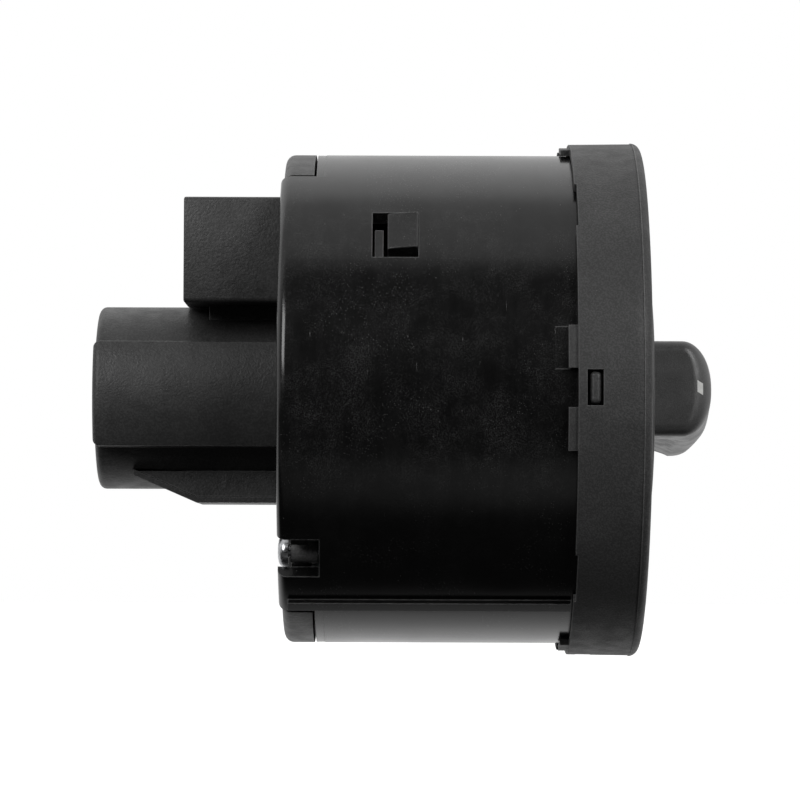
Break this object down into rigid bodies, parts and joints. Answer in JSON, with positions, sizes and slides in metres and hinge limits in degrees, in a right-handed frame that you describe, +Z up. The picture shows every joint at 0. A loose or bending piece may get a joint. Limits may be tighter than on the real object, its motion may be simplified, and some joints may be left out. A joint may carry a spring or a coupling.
{
  "type": "rotary panel switch",
  "caption": "Round panel switch with a turn, push and pull bar knob in front and a round and a rectangular plug socket behind.",
  "frame": {"origin": "on the switch axis, in the plane where the bezel seats on the panel", "axes": "+X along the switch axis, out of the panel towards the knob; +Z up, with the rectangular socket above the round one; -Y to the side that the knob's mark points to"},
  "size_m": [0.0802, 0.068, 0.068],
  "materials": {
    "black_plastic": "satin",
    "grained_plastic": "fine grain",
    "knob_plastic": "soft satin",
    "socket_plastic": "satin",
    "dial_plastic": "matte",
    "natural_plastic": "satin",
    "clear_plastic": "clear, smooth",
    "white_print": "satin",
    "board_laminate": "lacquered",
    "zinc_steel": "bright zinc",
    "tinned_brass": "tinned",
    "contact_copper": "polished",
    "spring_steel": "drawn wire",
    "lamp_glass": "clear"
  },
  "bodies": {
    "housing_unit": {"housing": "black_plastic", "bezel": "grained_plastic", "dial": "dial_plastic", "light_guide": "clear_plastic", "lamp_near": "lamp_glass", "lamp_far": "lamp_glass", "rear_cover": "socket_plastic", "round_socket": "socket_plastic", "block_socket": "socket_plastic", "round_terminal_01": "tinned_brass", "round_terminal_02": "tinned_brass", "round_terminal_03": "tinned_brass", "round_terminal_04": "tinned_brass", "round_terminal_05": "tinned_brass", "round_terminal_06": "tinned_brass", "round_terminal_07": "tinned_brass", "round_terminal_08": "tinned_brass", "round_terminal_09": "tinned_brass", "round_terminal_10": "tinned_brass", "round_terminal_11": "tinned_brass", "block_terminal_01": "tinned_brass", "block_terminal_02": "tinned_brass", "block_terminal_03": "tinned_brass", "block_terminal_04": "tinned_brass", "block_terminal_05": "tinned_brass", "block_terminal_06": "tinned_brass", "block_terminal_07": "tinned_brass", "block_terminal_08": "tinned_brass", "cover_screw_1": "zinc_steel", "cover_screw_2": "zinc_steel", "cover_screw_3": "zinc_steel", "circuit_board": "board_laminate", "contact_carrier": "natural_plastic", "release_spring": "spring_steel", "detent_spring": "spring_steel"},
    "rotor": {"rotor": "natural_plastic", "contact_bridge_1": "contact_copper", "contact_bridge_2": "contact_copper", "contact_bridge_3": "contact_copper"},
    "shaft": {"knob_shaft": "natural_plastic", "return_spring": "spring_steel"},
    "knob": {"knob": "knob_plastic", "pointer_mark": "white_print"},
    "pull_slider": {"pull_slider": "natural_plastic"},
    "release_ring": {"release_ring": "natural_plastic"},
    "latch_upper": {"latch_upper": "black_plastic"},
    "latch_lower": {"latch_lower": "black_plastic"},
    "detent_plunger": {"detent_plunger": "natural_plastic"}
  },
  "joints": [
    {"name": "knob_turn", "type": "hinge", "parent": "housing_unit", "child": "rotor", "pos_m": [0, 0, 0], "axis": [-1, 0, 0], "range_deg": [-45, 90]},
    {"name": "knob_pull", "type": "slide", "parent": "rotor", "child": "shaft", "axis": [1, 0, 0], "range_m": [0, 0.005]},
    {"name": "knob_push", "type": "slide", "parent": "shaft", "child": "knob", "axis": [1, 0, 0], "range_m": [-0.002, 0], "stiffness_N_per_m": 1000, "springref_m": 0.001, "deforming": ["return_spring"]},
    {"name": "slider_slide", "type": "slide", "parent": "housing_unit", "child": "pull_slider", "axis": [1, 0, 0], "range_m": [0, 0.005]},
    {"name": "release_turn", "type": "hinge", "parent": "housing_unit", "child": "release_ring", "pos_m": [0, 0, 0], "axis": [-1, 0, 0], "range_deg": [0, 30], "stiffness_Nm_per_rad": 0.02, "springref_deg": -11.46, "deforming": ["release_spring"]},
    {"name": "latch_upper_slide", "type": "slide", "parent": "housing_unit", "child": "latch_upper", "axis": [0, -0.7912, 0.6115], "range_m": [-0.0015, 0]},
    {"name": "latch_lower_slide", "type": "slide", "parent": "housing_unit", "child": "latch_lower", "axis": [0, 0.7912, -0.6115], "range_m": [-0.0015, 0]},
    {"name": "detent_press", "type": "slide", "parent": "housing_unit", "child": "detent_plunger", "axis": [0, 0.7071, 0.7071], "range_m": [0, 0.001], "stiffness_N_per_m": 800, "springref_m": -0.001, "deforming": ["detent_spring"]}
  ],
  "couplings": [
    {"joint": "slider_slide", "follows": "knob_pull", "ratio": 1},
    {"joint": "latch_upper_slide", "follows": "release_turn", "m_per_rad": -0.0028648},
    {"joint": "latch_lower_slide", "follows": "release_turn", "m_per_rad": -0.0028648}
  ]
}
